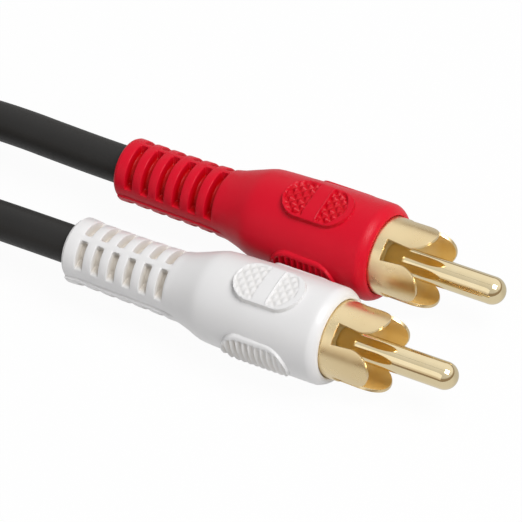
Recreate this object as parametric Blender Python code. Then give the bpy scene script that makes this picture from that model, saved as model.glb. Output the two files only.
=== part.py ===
# Short audio Y-cable: a red and a white moulded phono plug on black legs, joined by a moulded
# junction to a trunk that ends in a moulded 3.5 mm stereo plug. Metres, +Z up. The phono plugs
# lie side by side along X, pins towards +X, on the flat of their lower thumb pads.
import math

import bmesh
import bpy
from mathutils import Matrix, Vector

MM = 0.001

# Clearances
SEAT_GAP = 0.3 * MM
FINE_GAP = 0.12 * MM
PLUG_GAP = 0.3 * MM
HOLLOW_OVERLAP = 0.5 * MM
CUTTER_OVERRUN = 1.0 * MM
SLIVER = 0.02 * MM
WHITE_LEAD = 0.9 * MM

# Cable
LEG_DIAMETER = 4.6 * MM
TRUNK_DIAMETER = 5.2 * MM
LEG_LENGTH = 62.5 * MM
TRUNK_LENGTH = 38.0 * MM
JACKET_GRIP = 8.0 * MM

# Phono plug, along X from its pin tip
PIN_DIAMETER = 3.2 * MM
PIN_OUT = 15.1 * MM
PIN_TAIL_DIAMETER = 1.9 * MM
PIN_TAIL_LENGTH = 4.5 * MM
SOLDER_CUP_DIAMETER = 1.3 * MM
SOLDER_CUP_DEPTH = 1.8 * MM
PIN_ROUND_START_DEG = 15.0
SHELL_DIAMETER = 9.1 * MM
SHELL_WALL = 0.35 * MM
SHELL_OUT = 6.35 * MM
SHELL_TAIL = 2.6 * MM
SHELL_RING = 1.3 * MM
SHELL_SLOT_DEG = 28.5
SHELL_TURN_DEG = 63.6
PETAL_CORNER = 2.0 * MM
PETAL_CORNER_DEGREES = (20.0, 40.0, 58.0, 74.0, 86.0)
PETAL_COUNT = 4
LUG_LENGTH = 5.4 * MM
LUG_DEG = 44.0
LUG_SINK = 1.1 * MM
INSULATOR_THICKNESS = 0.9 * MM
INSULATOR_SINK = 1.1 * MM

# Phono plug moulding
NOSE_WALL = 0.85 * MM
NOSE_ROUND = 0.8 * MM
BODY_TAPER = 0.3 * MM
BODY_LENGTH = 16.1 * MM
KNEE_EASE = 0.55 * MM
KNEE_DROP = 0.13 * MM
CONE_LENGTH = 4.4 * MM
BOOT_FRONT_WALL = 1.35 * MM
BOOT_REAR_WALL = 1.02 * MM
BOOT_LENGTH = 14.4 * MM
BOOT_END_ROUND = 0.45 * MM
CAVITY_TAPER = 2.6 * MM

# Strain relief slots
SLOT_COUNT = 6
SLOT_PITCH = 2.2 * MM
SLOT_WIDTH = 1.0 * MM
SLOT_END_LAND = 1.7 * MM
SLOT_FLOOR_WALL = 0.3 * MM
RED_SLOT_ARCS = ((15.0, 112.0), (122.0, 166.0), (-80.0, -14.0), (-166.0, -94.0))
WHITE_SLOT_ARCS = ((17.0, 75.0), (88.0, 158.0), (-81.0, -28.0), (-152.0, -94.0))

# Finger pads
PAD_LENGTH = 8.9 * MM
PAD_BACK = 8.0 * MM
PAD_END_DEGREES = (0.0, 25.0, 45.0, 62.0, 83.0)
PAD_TIP_SHARE = 0.12
THUMB_PAD_WIDTH = 5.3 * MM
THUMB_PAD_RISE = 0.3 * MM
THUMB_PAD_CROWN = 4.0 * MM
THUMB_PAD_FLAT = 0.9 * MM
SIDE_PAD_WIDTH = 5.3 * MM
SIDE_PAD_DROP_DEG = 5.4
SIDE_PAD_RISE = 0.35 * MM
RIDGE_COUNT = 10
RIDGE_HEIGHT = 0.28 * MM

# Inner mould and wires of a phono plug
INNER_MOULD_WALL = 1.0 * MM
INNER_MOULD_LENGTH = 13.5 * MM
PLUG_GRIP = 6.5 * MM
DIELECTRIC_DIAMETER = 2.3 * MM
CONDUCTOR_DIAMETER = 0.7 * MM
SHIELD_DIAMETER = 0.85 * MM
PIGTAIL_SHORT = 1.2 * MM

# Junction
JUNCTION_LENGTH = 24.0 * MM
JUNCTION_WALL = 1.3 * MM
JUNCTION_LEG_GAP = 1.0 * MM
JUNCTION_END_ROUND = 1.2 * MM
JUNCTION_FLARE = 0.4 * MM
TRUNK_BOW = 0.7 * MM
TRUNK_DIP = 0.7 * MM
SPLICE_DIAMETER = 1.6 * MM
SPLICE_WIRE_DIAMETER = 0.8 * MM
SPLICE_FERRULE = 4.0 * MM

# Stereo plug, along -X from its collar
STEREO_DIAMETER = 3.5 * MM
STEREO_SHAFT = 14.0 * MM
STEREO_TIP = 4.0 * MM
STEREO_TIP_SHAPE = (
    (0.0, 0.0), (0.04, 0.29), (0.25, 0.71), (0.4, 1.0), (0.55, 1.0), (0.75, 0.74), (0.88, 0.74),
)
STEREO_BAND = 0.55 * MM
STEREO_RING = 2.2 * MM
STEREO_ROD_DIAMETER = 0.8 * MM
STEREO_TUBE_WALL = 0.2 * MM
STEREO_ROD_TAIL = 3.4 * MM
STEREO_RING_TAIL = 1.8 * MM
STEREO_TAIL_FLANGE = 0.4 * MM
STEREO_BAND_SINK = 0.02 * MM
COLLAR_DIAMETER = 6.6 * MM
COLLAR_THICKNESS = 1.2 * MM
STEREO_TAIL = 4.0 * MM
STEREO_BODY_DIAMETER = 9.2 * MM
STEREO_BODY_LENGTH = 17.0 * MM
STEREO_NOSE_ROUND = 1.0 * MM
STEREO_HOLLOW_STEP = 1.5 * MM
STEREO_CONE_LENGTH = 3.0 * MM
STEREO_BOOT_LENGTH = 12.0 * MM
STEREO_BOOT_WALL = 0.8 * MM
STEREO_SLOT_COUNT = 4
STEREO_SLOT_ARCS = ((15.0, 165.0), (-165.0, -15.0))
STEREO_WIRE_DIAMETER = 0.6 * MM
STEREO_WIRE_SPREAD = 1.6 * MM

# Places that follow from the sizes above
PIN_R = PIN_DIAMETER / 2
SHELL_R = SHELL_DIAMETER / 2
SHELL_BORE_R = SHELL_R - SHELL_WALL
CAVITY_R = SHELL_R + SEAT_GAP
NOSE_R = CAVITY_R + NOSE_WALL
BODY_REAR_R = NOSE_R - BODY_TAPER
LEG_R = LEG_DIAMETER / 2
TRUNK_R = TRUNK_DIAMETER / 2
LEG_BORE_R = LEG_R + SEAT_GAP
TRUNK_BORE_R = TRUNK_R + SEAT_GAP
BOOT_FRONT_R = LEG_BORE_R + BOOT_FRONT_WALL
BOOT_REAR_R = LEG_BORE_R + BOOT_REAR_WALL
SLOT_FLOOR_R = LEG_BORE_R + SLOT_FLOOR_WALL

NOSE_X = -PIN_OUT
PETAL_X = NOSE_X + SHELL_OUT
KNEE_X = NOSE_X - BODY_LENGTH
BOOT_X = KNEE_X - CONE_LENGTH
PLUG_REAR_X = BOOT_X - BOOT_LENGTH
PLUG_LENGTH = -PLUG_REAR_X
SHELL_REAR_X = NOSE_X - SHELL_TAIL
INSULATOR_X = NOSE_X - INSULATOR_SINK
INNER_MOULD_X = SHELL_REAR_X - SEAT_GAP
INNER_MOULD_REAR_X = INNER_MOULD_X - INNER_MOULD_LENGTH
JACKET_END_X = INNER_MOULD_REAR_X + PLUG_GRIP
LUG_R = SHELL_BORE_R - LUG_SINK
PAD_X = NOSE_X - PAD_BACK

THUMB_PAD_R = NOSE_R + THUMB_PAD_RISE
SIDE_PAD_R = NOSE_R + SIDE_PAD_RISE
AXIS_HEIGHT = THUMB_PAD_R
AXIS_SIDE = SIDE_PAD_R + PLUG_GAP / 2
RED_TIP = Vector(((PLUG_LENGTH - WHITE_LEAD) / 2, AXIS_SIDE, AXIS_HEIGHT))
WHITE_TIP = Vector(((PLUG_LENGTH + WHITE_LEAD) / 2, -AXIS_SIDE, AXIS_HEIGHT))

LEGS_START_X = RED_TIP.x + PLUG_REAR_X
JUNCTION_X = LEGS_START_X - LEG_LENGTH
JUNCTION_REAR_X = JUNCTION_X - JUNCTION_LENGTH
JUNCTION_HALF_HEIGHT = max(LEG_BORE_R, TRUNK_BORE_R) + JUNCTION_WALL
JUNCTION_LEG_Y = LEG_R + JUNCTION_LEG_GAP / 2
JUNCTION_HALF_WIDTH = JUNCTION_LEG_Y + LEG_BORE_R + JUNCTION_WALL
JUNCTION_NECK_R = TRUNK_BORE_R + JUNCTION_WALL
JUNCTION_Z = JUNCTION_HALF_HEIGHT
STEREO_REAR_X = JUNCTION_REAR_X - TRUNK_LENGTH
STEREO_LENGTH = STEREO_BOOT_LENGTH + STEREO_CONE_LENGTH + STEREO_BODY_LENGTH
STEREO_COLLAR_X = STEREO_REAR_X - STEREO_LENGTH
STEREO_BODY_R = STEREO_BODY_DIAMETER / 2
STEREO_Z = STEREO_BODY_R

ROUND_STEPS = 32
FINE_STEPS = 20
WIRE_STEPS = 12
ROUTE_STEP = 2.2


def clear_scene():
    for thing in list(bpy.data.objects):
        bpy.data.objects.remove(thing)


def plain_material(name, colour, roughness, metallic=0.0):
    material = bpy.data.materials.new(name)
    material.use_nodes = True
    shader = material.node_tree.nodes["Principled BSDF"]
    shader.inputs["Base Color"].default_value = (*colour, 1.0)
    shader.inputs["Roughness"].default_value = roughness
    shader.inputs["Metallic"].default_value = metallic
    return material


def make_object(name, shape, material=None, parent=None):
    bmesh.ops.recalc_face_normals(shape, faces=shape.faces)
    data = bpy.data.meshes.new(name)
    shape.to_mesh(data)
    shape.free()
    data.shade_smooth()
    data.set_sharp_from_angle(angle=math.radians(35))
    made = bpy.data.objects.new(name, data)
    bpy.context.scene.collection.objects.link(made)
    if material:
        data.materials.append(material)
    else:
        made.hide_render = True
        made.display_type = "WIRE"
    if parent:
        made.parent = parent
    return made


def empty_at(name, place, turn_z=0.0):
    holder = bpy.data.objects.new(name, None)
    holder.location = place
    holder.rotation_euler = (0.0, 0.0, turn_z)
    bpy.context.scene.collection.objects.link(holder)
    return holder


def add_boolean(target, tool, operation):
    modifier = target.modifiers.new(tool.name, "BOOLEAN")
    modifier.operation = operation
    modifier.object = tool
    modifier.solver = "EXACT"


def join_rings(shape, rings):
    # Quads between rings of points, each as long as the next or a single point on the axis
    for first, second in zip(rings, rings[1:]):
        count = max(len(first), len(second))
        for i in range(count):
            j = (i + 1) % count
            corners = [first[i % len(first)], first[j % len(first)]]
            corners += [second[j % len(second)], second[i % len(second)]]
            shape.faces.new(list(dict.fromkeys(corners)))


def add_turned(shape, profile, steps):
    # Profile points (x, radius) walked round the section; a section off the axis is a closed loop
    rings = []
    for x, radius in profile:
        if radius == 0:
            rings.append([shape.verts.new((x, 0, 0))])
            continue
        angles = [2 * math.pi * i / steps for i in range(steps)]
        rings.append([shape.verts.new((x, radius * math.cos(a), radius * math.sin(a))) for a in angles])
    if profile[0][1] > 0:
        rings.append(rings[0])
    join_rings(shape, rings)


def turned(name, profile, material=None, parent=None, steps=ROUND_STEPS):
    shape = bmesh.new()
    add_turned(shape, profile, steps)
    return make_object(name, shape, material, parent)


def rounded_corner(centre_x, centre_r, radius, start_deg, end_deg, steps):
    # Profile points of an arc, its angle measured from +X towards the outside
    points = []
    for i in range(steps + 1):
        angle = math.radians(start_deg + (end_deg - start_deg) * i / steps)
        points.append((centre_x + radius * math.cos(angle), centre_r + radius * math.sin(angle)))
    return points


def direction(angle_deg):
    # Unit vector across the axis: 0 degrees is -Y, 90 degrees is +Z
    angle = math.radians(angle_deg)
    return Vector((0, -math.cos(angle), math.sin(angle)))


def add_sector(shape, x_range, radii, arc_deg, steps):
    rows = []
    for i in range(steps + 1):
        out = direction(arc_deg[0] + (arc_deg[1] - arc_deg[0]) * i / steps)
        corners = [(x_range[0], radii[0]), (x_range[1], radii[0])]
        corners += [(x_range[1], radii[1]), (x_range[0], radii[1])]
        rows.append([shape.verts.new(Vector((x, 0, 0)) + out * r) for x, r in corners])
    join_rings(shape, rows)
    shape.faces.new(rows[0])
    shape.faces.new(rows[-1])


def pad_half_width(offset, length, width):
    # Half width of a stadium outline at an offset along it
    end = width / 2
    beyond = abs(offset) - (length / 2 - end)
    if beyond <= 0:
        return end
    return math.sqrt(max(end * end - beyond * beyond, (PAD_TIP_SHARE * end) ** 2))


def add_pad(shape, angle_deg, offsets, width, top, base_radius, across):
    # A stadium pad on the body: rows of points across it at each offset along X
    out = direction(angle_deg)
    side = Vector((1, 0, 0)).cross(out)
    rows = []
    for offset in offsets:
        half = pad_half_width(offset, PAD_LENGTH, width)
        spans = [half * (2 * i / (across - 1) - 1) for i in range(across)]
        place = Vector((PAD_X + offset, 0, 0))
        upper = [place + side * s + out * top(offset, s) for s in spans]
        lower = [place + side * s + out * math.sqrt(base_radius**2 - s * s) for s in reversed(spans)]
        rows.append([shape.verts.new(point) for point in upper + lower])
    join_rings(shape, rows)
    shape.faces.new(rows[0])
    shape.faces.new(rows[-1])


def thumb_top(offset, across):
    beyond = max(abs(across) - THUMB_PAD_FLAT, 0)
    return THUMB_PAD_R - (THUMB_PAD_CROWN - math.sqrt(THUMB_PAD_CROWN**2 - beyond**2))


def finger_pads(name, parent):
    shape = bmesh.new()
    base = (BODY_REAR_R + CAVITY_R) / 2
    end = THUMB_PAD_WIDTH / 2
    straight = PAD_LENGTH / 2 - end
    curved = [straight + end * math.sin(math.radians(a)) for a in PAD_END_DEGREES]
    offsets = [-x for x in reversed(curved)] + curved
    for angle in (90, -90):
        add_pad(shape, angle, offsets, THUMB_PAD_WIDTH, thumb_top, base, 7)
    pitch = PAD_LENGTH / (RIDGE_COUNT + 0.5)
    tops = {}
    for ridge in range(RIDGE_COUNT):
        start = -PAD_LENGTH / 2 + pitch * (ridge + 0.25)
        for share, height in ((0.0, 0.0), (0.25, 1.0), (0.5, 1.0), (0.75, 0.0)):
            tops[start + share * pitch] = height
    offsets = sorted(tops)

    def ridged_top(offset, across):
        return math.sqrt(SIDE_PAD_R**2 - across**2) - RIDGE_HEIGHT * (1 - tops[offset])

    for angle in (-SIDE_PAD_DROP_DEG, 180 + SIDE_PAD_DROP_DEG):
        add_pad(shape, angle, offsets, SIDE_PAD_WIDTH, ridged_top, base, 5)
    return make_object(name, shape, None, parent)


def relief_slots(name, first_x, count, arcs, radii, parent):
    # Ring sectors that cut the strain relief, from the cable end forwards
    shape = bmesh.new()
    for i in range(count):
        centre = first_x + SLOT_PITCH * i
        x_range = (centre - SLOT_WIDTH / 2, centre + SLOT_WIDTH / 2)
        for arc in arcs:
            steps = max(2, round(abs(arc[1] - arc[0]) / 15))
            add_sector(shape, x_range, radii, arc, steps)
    return make_object(name, shape, None, parent)


def phono_moulding(colour, material, arcs, parent):
    cavity_rear = INNER_MOULD_REAR_X - SEAT_GAP
    profile = [(NOSE_X, CAVITY_R)]
    profile += rounded_corner(NOSE_X - NOSE_ROUND, NOSE_R - NOSE_ROUND, NOSE_ROUND, 0, 90, 4)
    profile += [(KNEE_X + KNEE_EASE, BODY_REAR_R), (KNEE_X - KNEE_EASE, BODY_REAR_R - KNEE_DROP)]
    profile += [(BOOT_X + KNEE_EASE, BOOT_FRONT_R + KNEE_DROP)]
    profile += [(BOOT_X - KNEE_EASE, BOOT_FRONT_R - KNEE_DROP)]
    end_x, end_r = PLUG_REAR_X + BOOT_END_ROUND, BOOT_REAR_R - BOOT_END_ROUND
    profile += rounded_corner(end_x, end_r, BOOT_END_ROUND, 90, 180, 3)
    profile += [(PLUG_REAR_X, LEG_BORE_R), (cavity_rear, LEG_BORE_R)]
    profile += [(cavity_rear, LEG_BORE_R + 3 * SEAT_GAP), (cavity_rear + CAVITY_TAPER, CAVITY_R)]
    moulding = turned(f"{colour}_plug_moulding", profile, material, parent)
    add_boolean(moulding, finger_pads(f"{colour}_pad_tool", parent), "UNION")
    first = PLUG_REAR_X + SLOT_END_LAND + SLOT_WIDTH / 2
    radii = (SLOT_FLOOR_R, BOOT_FRONT_R + CUTTER_OVERRUN)
    slots = relief_slots(f"{colour}_slot_tool", first, SLOT_COUNT, arcs, radii, parent)
    add_boolean(moulding, slots, "DIFFERENCE")


def slot_half_angle(x):
    # Half the angle of a slot between two petals at a place along the shell, opening at the ends
    half = math.radians(SHELL_SLOT_DEG / 2)
    beyond = x - (PETAL_X - PETAL_CORNER)
    if beyond <= 0:
        return half
    sweep = PETAL_CORNER - math.sqrt(max(PETAL_CORNER**2 - beyond**2, 0))
    return half + sweep / SHELL_R


def petal_slots(name, parent):
    shape = bmesh.new()
    root = NOSE_X + SHELL_RING
    straight = PETAL_X - PETAL_CORNER
    places = [root, straight]
    places += [straight + PETAL_CORNER * math.sin(math.radians(a)) for a in PETAL_CORNER_DEGREES]
    for petal in range(PETAL_COUNT):
        centre = SHELL_TURN_DEG + 360 / PETAL_COUNT * petal
        rows = []
        for x in places + [PETAL_X + CUTTER_OVERRUN]:
            half = math.degrees(slot_half_angle(min(x, places[-1])))
            row = []
            for radius in (SHELL_BORE_R - CUTTER_OVERRUN, SHELL_R + CUTTER_OVERRUN):
                angles = [centre + half * (2 * i / 4 - 1) for i in range(5)]
                angles = angles if radius < SHELL_R else angles[::-1]
                row += [Vector((x, 0, 0)) + direction(a) * radius for a in angles]
            rows.append([shape.verts.new(point) for point in row])
        join_rings(shape, rows)
        shape.faces.new(rows[0])
        shape.faces.new(rows[-1])
    return make_object(name, shape, None, parent)


def phono_shell(colour, material, parent):
    lip_x = SHELL_REAR_X + SHELL_WALL
    lug_end = SHELL_REAR_X - LUG_LENGTH
    profile = [(PETAL_X, SHELL_BORE_R), (PETAL_X, SHELL_R), (SHELL_REAR_X, SHELL_R)]
    profile += [(SHELL_REAR_X, LUG_R), (lug_end, LUG_R), (lug_end, LUG_R - SHELL_WALL)]
    profile += [(lip_x, LUG_R - SHELL_WALL), (lip_x, SHELL_BORE_R)]
    shell = turned(f"{colour}_plug_shell", profile, material, parent)
    add_boolean(shell, petal_slots(f"{colour}_petal_tool", parent), "DIFFERENCE")
    shape = bmesh.new()
    reach = (lug_end - CUTTER_OVERRUN, SHELL_REAR_X - SLIVER)
    arc = (90 + LUG_DEG / 2, 450 - LUG_DEG / 2)
    add_sector(shape, reach, (LUG_R - 2 * SHELL_WALL, LUG_R + SHELL_WALL), arc, 20)
    add_boolean(shell, make_object(f"{colour}_lug_tool", shape, None, parent), "DIFFERENCE")


def phono_insides(colour, metals, parent):
    gold, plastic, copper, pale = metals
    shoulder = INSULATOR_X + SEAT_GAP
    tail_r = PIN_TAIL_DIAMETER / 2
    cup_r = SOLDER_CUP_DIAMETER / 2
    tail_end = INSULATOR_X - PIN_TAIL_LENGTH
    pin = [(0, 0)] + rounded_corner(-PIN_R, 0, PIN_R, PIN_ROUND_START_DEG, 90, 5)
    pin += [(shoulder, PIN_R), (shoulder, tail_r), (tail_end, tail_r), (tail_end, cup_r)]
    pin += [(tail_end + SOLDER_CUP_DEPTH, cup_r), (tail_end + SOLDER_CUP_DEPTH, 0)]
    turned(f"{colour}_plug_pin", pin, gold, parent, FINE_STEPS)

    back = INSULATOR_X - INSULATOR_THICKNESS
    bore = tail_r + SEAT_GAP
    rim = SHELL_BORE_R - SEAT_GAP
    disc = [(INSULATOR_X, bore), (INSULATOR_X, rim), (back, rim), (back, bore)]
    turned(f"{colour}_insulator", disc, pale, parent, FINE_STEPS)

    outer = CAVITY_R - SEAT_GAP
    wide = outer - INNER_MOULD_WALL
    step_x = JACKET_END_X - SEAT_GAP
    profile = [(INNER_MOULD_X, wide), (INNER_MOULD_X, outer)]
    profile += [(INNER_MOULD_REAR_X + CAVITY_TAPER, outer), (INNER_MOULD_REAR_X, LEG_BORE_R + 2 * SEAT_GAP)]
    profile += [(INNER_MOULD_REAR_X, LEG_BORE_R), (step_x, LEG_BORE_R), (step_x + 2 * SEAT_GAP, wide)]
    turned(f"{colour}_inner_mould", profile, plastic, parent, FINE_STEPS)

    core_r = DIELECTRIC_DIAMETER / 2
    wire_r = CONDUCTOR_DIAMETER / 2
    core_front = tail_end - SEAT_GAP
    core_back = JACKET_END_X + SEAT_GAP
    core_bore = wire_r + SEAT_GAP
    core = [(core_front, core_bore), (core_front, core_r), (core_back, core_r), (core_back, core_bore)]
    turned(f"{colour}_core_insulation", core, pale, parent, WIRE_STEPS)
    wire_front = tail_end + SOLDER_CUP_DEPTH - SEAT_GAP
    wire = [(wire_front, 0), (wire_front, wire_r), (core_back, wire_r), (core_back, 0)]
    turned(f"{colour}_core_conductor", wire, copper, parent, WIRE_STEPS)

    shield_r = SHIELD_DIAMETER / 2
    height = LUG_R - SHELL_WALL - SEAT_GAP - shield_r
    tab_end = SHELL_REAR_X - PIGTAIL_SHORT
    route = [Vector((x, 0, height)) for x in (core_back, (core_back + tab_end) / 2, tab_end)]
    tube(f"{colour}_shield_pigtail", route, shield_r, copper, parent, 2)


def smooth_points(route, spacing):
    # Evenly spaced points of a Catmull-Rom curve through the route's own points
    ends = [route[0] * 2 - route[1]] + list(route) + [route[-1] * 2 - route[-2]]
    fine = []
    for a, b, c, d in zip(ends, ends[1:], ends[2:], ends[3:]):
        for i in range(24):
            t = i / 24
            fine.append(0.5 * (2 * b + (c - a) * t + (2 * a - 5 * b + 4 * c - d) * t**2
                               + (3 * b - 3 * c + d - a) * t**3))
    fine.append(route[-1])
    lengths = [0.0]
    for a, b in zip(fine, fine[1:]):
        lengths.append(lengths[-1] + (b - a).length)
    count = max(2, round(lengths[-1] / spacing))
    points = []
    for i in range(count + 1):
        wanted = lengths[-1] * i / count
        k = next(k for k in range(1, len(fine)) if lengths[k] >= wanted - 1e-9)
        share = (wanted - lengths[k - 1]) / (lengths[k] - lengths[k - 1])
        points.append(fine[k - 1].lerp(fine[k], share))
    return points


def tube(name, points, radius, material, parent=None, sides=3):
    data = bpy.data.curves.new(name, "CURVE")
    data.dimensions = "3D"
    data.bevel_depth = radius
    data.bevel_resolution = sides
    data.use_fill_caps = True
    spline = data.splines.new("POLY")
    spline.points.add(len(points) - 1)
    for point, place in zip(spline.points, points):
        point.co = (*place, 1.0)
    data.materials.append(material)
    made = bpy.data.objects.new(name, data)
    bpy.context.scene.collection.objects.link(made)
    if parent:
        made.parent = parent


def leg_route(tip, side):
    # From the stripped end inside the plug, out of the strain relief and down into the junction
    out = tip.x + PLUG_REAR_X
    span = out - JUNCTION_X
    join = Vector((JUNCTION_X, side * JUNCTION_LEG_Y, JUNCTION_Z))
    start = tip + Vector((JACKET_END_X, 0, 0))
    drop = tip.z - join.z
    return [
        start,
        start.lerp(Vector((out, tip.y, tip.z)), 0.5),
        Vector((out, tip.y, tip.z)),
        Vector((out - 0.18 * span, tip.y, tip.z - 0.03 * drop)),
        Vector((out - 0.36 * span, tip.y * 0.98 + join.y * 0.02, tip.z - 0.25 * drop)),
        Vector((out - 0.56 * span, tip.y * 0.84 + join.y * 0.16, join.z + 0.32 * drop)),
        Vector((out - 0.76 * span, tip.y * 0.36 + join.y * 0.64, join.z + 0.05 * drop)),
        Vector((out - 0.90 * span, tip.y * 0.08 + join.y * 0.92, join.z)),
        join,
        join - Vector((JACKET_GRIP, 0, 0)),
    ]


def trunk_route():
    front = Vector((JUNCTION_REAR_X, 0, JUNCTION_Z))
    back = Vector((STEREO_REAR_X, 0, STEREO_Z))
    run = back.x - front.x
    return [
        front + Vector((JACKET_GRIP, 0, 0)),
        front,
        front + Vector((0.2 * run, 0.6 * TRUNK_BOW, -0.7 * TRUNK_DIP)),
        front + Vector((0.5 * run, TRUNK_BOW, -TRUNK_DIP)),
        back + Vector((-0.2 * run, 0.6 * TRUNK_BOW, -0.4 * TRUNK_DIP)),
        back,
        back - Vector((JACKET_GRIP, 0, 0)),
    ]


def add_loft(shape, sections, steps):
    # Superellipse rings (x, half width, half height) along X, with flat ends
    rings = []
    for x, half_width, half_height in sections:
        ring = []
        for i in range(steps):
            a = 2 * math.pi * i / steps
            c, s = math.cos(a), math.sin(a)
            power = 2 / 2.6
            y = math.copysign(abs(c) ** power, c) * half_width
            z = math.copysign(abs(s) ** power, s) * half_height
            ring.append(shape.verts.new((x, y, z)))
        rings.append(ring)
    join_rings(shape, rings)
    shape.faces.new(rings[0])
    shape.faces.new(rings[-1])


def junction(material, copper):
    place = empty_at("junction_place", (JUNCTION_X, 0, JUNCTION_Z))
    wide, high, neck = JUNCTION_HALF_WIDTH, JUNCTION_HALF_HEIGHT, JUNCTION_NECK_R
    lip = JUNCTION_END_ROUND
    long = JUNCTION_LENGTH
    sections = [(0, wide - lip, high - lip), (-0.3 * lip, wide - 0.3 * lip, high - 0.3 * lip)]
    sections += [(-lip, wide, high), (-0.35 * long, wide, high), (-0.55 * long, (wide * 2 + neck) / 3, high)]
    sections += [(-0.8 * long, neck + JUNCTION_FLARE, (high + neck) / 2), (-long + lip, neck, neck)]
    sections += [(-long + 0.3 * lip, neck - 0.3 * lip, neck - 0.3 * lip)]
    sections += [(-long, neck - 0.9 * lip, neck - 0.9 * lip)]
    shape = bmesh.new()
    add_loft(shape, sections, ROUND_STEPS)
    body = make_object("junction_moulding", shape, material, place)

    reach = JACKET_GRIP + SEAT_GAP
    for side, colour in ((1, "red"), (-1, "white")):
        mouth = CUTTER_OVERRUN
        bore = [(mouth, 0), (mouth, LEG_BORE_R), (-reach, LEG_BORE_R), (-reach, 0)]
        tool = turned(f"{colour}_junction_bore_tool", bore, None, place, FINE_STEPS)
        tool.location.y = side * JUNCTION_LEG_Y
        add_boolean(body, tool, "DIFFERENCE")
    mouth, deep = -long - CUTTER_OVERRUN, -long + reach
    bore = [(mouth, 0), (mouth, TRUNK_BORE_R), (deep, TRUNK_BORE_R), (deep, 0)]
    add_boolean(body, turned("trunk_bore_tool", bore, None, place, FINE_STEPS), "DIFFERENCE")
    shape = bmesh.new()
    front = (-reach + HOLLOW_OVERLAP, JUNCTION_LEG_Y + LEG_R * 0.5, LEG_R * 0.6)
    back = (deep - HOLLOW_OVERLAP, TRUNK_R * 0.8, LEG_R * 0.6)
    add_loft(shape, [front, back], 16)
    add_boolean(body, make_object("splice_cavity_tool", shape, None, place), "DIFFERENCE")

    leg_end = JUNCTION_X - JACKET_GRIP - SEAT_GAP
    trunk_end = JUNCTION_REAR_X + JACKET_GRIP + SEAT_GAP
    wire_r, ferrule_r = SPLICE_WIRE_DIAMETER / 2, SPLICE_DIAMETER / 2
    apart = TRUNK_R * 0.42
    rows = (("red", JUNCTION_LEG_Y, apart), ("white", -JUNCTION_LEG_Y, -apart), ("ground", 0.0, 0.0))
    for name, leg_y, trunk_y in rows:
        start = Vector((leg_end, leg_y, JUNCTION_Z))
        end = Vector((trunk_end, trunk_y, JUNCTION_Z))
        if name == "ground":
            start.x = leg_end - SPLICE_FERRULE / 2
        run = (end - start).length
        middle, half = run / 2, min(SPLICE_FERRULE, run * 0.6) / 2
        profile = [(0, 0), (0, wire_r), (middle - half, wire_r), (middle - half, ferrule_r)]
        profile += [(middle + half, ferrule_r), (middle + half, wire_r), (run, wire_r), (run, 0)]
        piece = turned(f"junction_{name}_splice", profile, copper, None, WIRE_STEPS)
        aim = Vector((1, 0, 0)).rotation_difference(end - start).to_matrix().to_4x4()
        piece.matrix_world = Matrix.Translation(start) @ aim


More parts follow.
